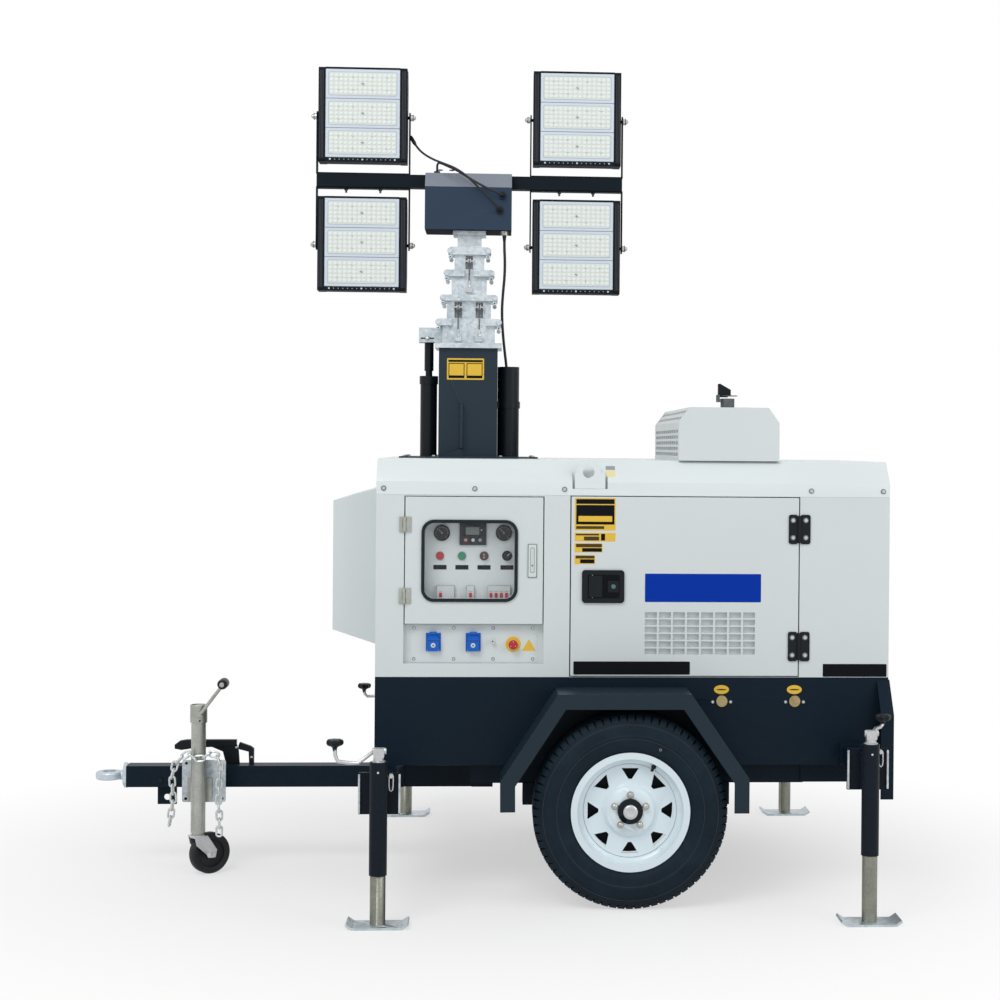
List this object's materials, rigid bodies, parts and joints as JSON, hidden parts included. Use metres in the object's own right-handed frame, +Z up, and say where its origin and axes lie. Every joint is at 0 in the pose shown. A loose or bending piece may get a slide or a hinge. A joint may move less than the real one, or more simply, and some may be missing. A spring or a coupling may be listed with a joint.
{
  "type": "mobile light tower",
  "caption": "Towed light tower: generator canopy on a single-axle trailer, telescopic mast with tilting floodlights, outrigger jacks, jockey wheel and tow ring.",
  "frame": {"origin": "on the ground, under the middle of the parked machine's outline", "axes": "+Z up; +X to the rear, the tow ring lies at -X; +Y across, the control panel is on the -Y side"},
  "size_m": [2.952, 2.056, 3.041],
  "materials": {
    "white_paint": "satin powder coat",
    "panel_paint": "satin",
    "black_paint": "satin powder coat",
    "head_paint": "satin powder coat",
    "galvanised": "hot-dip spangle",
    "zinc_steel": "bright zinc plate",
    "wheel_paint": "silver-white gloss",
    "tyre_rubber": "matt",
    "castor_rubber": "matt",
    "cable_rubber": "satin",
    "instrument_plastic": "satin",
    "lamp_housing": "black anodised",
    "window_pane": "clear",
    "engine_iron": "painted"
  },
  "bodies": {
    "root": {"base_frame": "black_paint", "end_panels": "white_paint", "side_frame_near": "white_paint", "side_frame_far": "white_paint", "roof": "white_paint", "control_panel": "panel_paint", "panel_instruments": "instrument_plastic", "engine_block": "engine_iron", "exhaust_box": "white_paint", "front_hood": "white_paint", "chassis_frame": "black_paint", "drawbar": "black_paint", "tow_eye": "zinc_steel", "axle": "black_paint", "fenders": "black_paint", "rear_board": "black_paint", "mast_tube": "black_paint", "lift_cylinder": "black_paint", "cable_tube": "black_paint"},
    "control_door": {"control_door": "white_paint", "control_window": "window_pane"},
    "side_door_near": {"side_door_near": "white_paint"},
    "side_door_far": {"side_door_far": "white_paint"},
    "wheel_near": {"rim_near": "wheel_paint", "tyre_near": "tyre_rubber"},
    "wheel_far": {"rim_far": "wheel_paint", "tyre_far": "tyre_rubber"},
    "rain_cap": {"rain_cap": "black_paint"},
    "mast_stage_1": {"mast_section_1": "galvanised"},
    "mast_stage_2": {"mast_section_2": "galvanised"},
    "mast_stage_3": {"mast_section_3": "galvanised"},
    "mast_stage_4": {"mast_section_4": "galvanised"},
    "mast_head": {"mast_section_5": "galvanised", "head_box": "head_paint", "lamp_bar": "black_paint", "mast_cable": "cable_rubber", "lamp_leads": "cable_rubber"},
    "jockey_leg": {"jockey_leg": "zinc_steel", "safety_chain": "zinc_steel"},
    "jockey_stem": {"jockey_stem": "zinc_steel"},
    "jockey_fork": {"jockey_fork": "zinc_steel"},
    "jockey_wheel": {"jockey_wheel": "castor_rubber"},
    "lamp_upper_left": {"lamp_upper_left": "lamp_housing"},
    "lamp_lower_left": {"lamp_lower_left": "lamp_housing"},
    "lamp_upper_right": {"lamp_upper_right": "lamp_housing"},
    "lamp_lower_right": {"lamp_lower_right": "lamp_housing"},
    "outrigger_front_near": {"outrigger_front_near": "black_paint"},
    "jack_tube_front_near": {"jack_tube_front_near": "black_paint"},
    "jack_leg_front_near": {"jack_leg_front_near": "zinc_steel"},
    "outrigger_front_far": {"outrigger_front_far": "black_paint"},
    "jack_tube_front_far": {"jack_tube_front_far": "black_paint"},
    "jack_leg_front_far": {"jack_leg_front_far": "zinc_steel"},
    "outrigger_rear_near": {"outrigger_rear_near": "black_paint"},
    "jack_tube_rear_near": {"jack_tube_rear_near": "black_paint"},
    "jack_leg_rear_near": {"jack_leg_rear_near": "zinc_steel"},
    "outrigger_rear_far": {"outrigger_rear_far": "black_paint"},
    "jack_tube_rear_far": {"jack_tube_rear_far": "black_paint"},
    "jack_leg_rear_far": {"jack_leg_rear_far": "zinc_steel"}
  },
  "joints": [
    {"name": "control_door_hinge", "type": "hinge", "parent": "root", "child": "control_door", "pos_m": [-0.286, -0.6, 1.2], "axis": [0, 0, -1], "range_deg": [0, 110]},
    {"name": "side_door_near_hinge", "type": "hinge", "parent": "root", "child": "side_door_near", "pos_m": [1.123, -0.6, 1.106], "axis": [0, 0, 1], "range_deg": [0, 110]},
    {"name": "side_door_far_hinge", "type": "hinge", "parent": "root", "child": "side_door_far", "pos_m": [1.123, 0.6, 1.106], "axis": [0, 0, -1], "range_deg": [0, 110]},
    {"name": "wheel_near_spin", "type": "hinge", "parent": "root", "child": "wheel_near", "pos_m": [0.511, -0.6975, 0.34], "axis": [0, 1, 0], "continuous": true},
    {"name": "wheel_far_spin", "type": "hinge", "parent": "root", "child": "wheel_far", "pos_m": [0.511, 0.6975, 0.34], "axis": [0, 1, 0], "continuous": true},
    {"name": "rain_cap_hinge", "type": "hinge", "parent": "root", "child": "rain_cap", "pos_m": [0.891, 0, 1.806], "axis": [0, -1, 0], "range_deg": [0, 60]},
    {"name": "mast_lift", "type": "slide", "parent": "root", "child": "mast_stage_1", "axis": [0, 0, 1], "range_m": [0, 1.2]},
    {"name": "mast_extend_2", "type": "slide", "parent": "mast_stage_1", "child": "mast_stage_2", "axis": [0, 0, 1], "range_m": [0, 1.2]},
    {"name": "mast_extend_3", "type": "slide", "parent": "mast_stage_2", "child": "mast_stage_3", "axis": [0, 0, 1], "range_m": [0, 1.2]},
    {"name": "mast_extend_4", "type": "slide", "parent": "mast_stage_3", "child": "mast_stage_4", "axis": [0, 0, 1], "range_m": [0, 1.2]},
    {"name": "mast_extend_5", "type": "slide", "parent": "mast_stage_4", "child": "mast_head", "axis": [0, 0, 1], "range_m": [0, 1.2]},
    {"name": "lamp_upper_left_tilt", "type": "hinge", "parent": "mast_head", "child": "lamp_upper_left", "pos_m": [-0.482, 0, 2.862], "axis": [1, 0, 0], "range_deg": [-90, 90]},
    {"name": "lamp_lower_left_tilt", "type": "hinge", "parent": "mast_head", "child": "lamp_lower_left", "pos_m": [-0.482, 0, 2.372], "axis": [1, 0, 0], "range_deg": [-90, 90]},
    {"name": "lamp_upper_right_tilt", "type": "hinge", "parent": "mast_head", "child": "lamp_upper_right", "pos_m": [0.334, 0, 2.862], "axis": [1, 0, 0], "range_deg": [-90, 90]},
    {"name": "lamp_lower_right_tilt", "type": "hinge", "parent": "mast_head", "child": "lamp_lower_right", "pos_m": [0.334, 0, 2.372], "axis": [1, 0, 0], "range_deg": [-90, 90]},
    {"name": "outrigger_front_near_slide", "type": "slide", "parent": "root", "child": "outrigger_front_near", "axis": [0, 1, 0], "range_m": [0, 0.2]},
    {"name": "jack_front_near_swivel", "type": "hinge", "parent": "outrigger_front_near", "child": "jack_tube_front_near", "pos_m": [-0.347, -0.973, 0.435], "axis": [0, 1, 0], "range_deg": [0, 90]},
    {"name": "jack_front_near_wind", "type": "slide", "parent": "jack_tube_front_near", "child": "jack_leg_front_near", "axis": [0, 0, 1], "range_m": [-0.08, 0.15]},
    {"name": "outrigger_front_far_slide", "type": "slide", "parent": "root", "child": "outrigger_front_far", "axis": [0, -1, 0], "range_m": [0, 0.2]},
    {"name": "jack_front_far_swivel", "type": "hinge", "parent": "outrigger_front_far", "child": "jack_tube_front_far", "pos_m": [-0.347, 0.973, 0.435], "axis": [0, 1, 0], "range_deg": [0, 90]},
    {"name": "jack_front_far_wind", "type": "slide", "parent": "jack_tube_front_far", "child": "jack_leg_front_far", "axis": [0, 0, 1], "range_m": [-0.08, 0.15]},
    {"name": "outrigger_rear_near_slide", "type": "slide", "parent": "root", "child": "outrigger_rear_near", "axis": [0, 1, 0], "range_m": [0, 0.2]},
    {"name": "jack_rear_near_swivel", "type": "hinge", "parent": "outrigger_rear_near", "child": "jack_tube_rear_near", "pos_m": [1.311, -0.973, 0.514], "axis": [0, -1, 0], "range_deg": [0, 90]},
    {"name": "jack_rear_near_wind", "type": "slide", "parent": "jack_tube_rear_near", "child": "jack_leg_rear_near", "axis": [0, 0, 1], "range_m": [-0.08, 0.21]},
    {"name": "outrigger_rear_far_slide", "type": "slide", "parent": "root", "child": "outrigger_rear_far", "axis": [0, -1, 0], "range_m": [0, 0.2]},
    {"name": "jack_rear_far_swivel", "type": "hinge", "parent": "outrigger_rear_far", "child": "jack_tube_rear_far", "pos_m": [1.311, 0.973, 0.514], "axis": [0, -1, 0], "range_deg": [0, 90]},
    {"name": "jack_rear_far_wind", "type": "slide", "parent": "jack_tube_rear_far", "child": "jack_leg_rear_far", "axis": [0, 0, 1], "range_m": [-0.08, 0.21]},
    {"name": "jockey_fold", "type": "hinge", "parent": "root", "child": "jockey_leg", "pos_m": [-1.064, -0.175, 0.309], "axis": [0, -1, 0], "range_deg": [0, 90]},
    {"name": "jockey_wind", "type": "slide", "parent": "jockey_leg", "child": "jockey_stem", "axis": [0, 0, 1], "range_m": [-0.15, 0]},
    {"name": "jockey_castor", "type": "hinge", "parent": "jockey_stem", "child": "jockey_fork", "pos_m": [-1.064, -0.175, 0.145], "axis": [0, 0, 1], "continuous": true},
    {"name": "jockey_wheel_spin", "type": "hinge", "parent": "jockey_fork", "child": "jockey_wheel", "pos_m": [-1.02468, -0.14747, 0.076], "axis": [-0.5736, 0.8192, 0], "continuous": true}
  ],
  "couplings": [
    {"joint": "mast_extend_2", "follows": "mast_lift", "ratio": 1},
    {"joint": "mast_extend_3", "follows": "mast_lift", "ratio": 1},
    {"joint": "mast_extend_4", "follows": "mast_lift", "ratio": 1},
    {"joint": "mast_extend_5", "follows": "mast_lift", "ratio": 1}
  ]
}
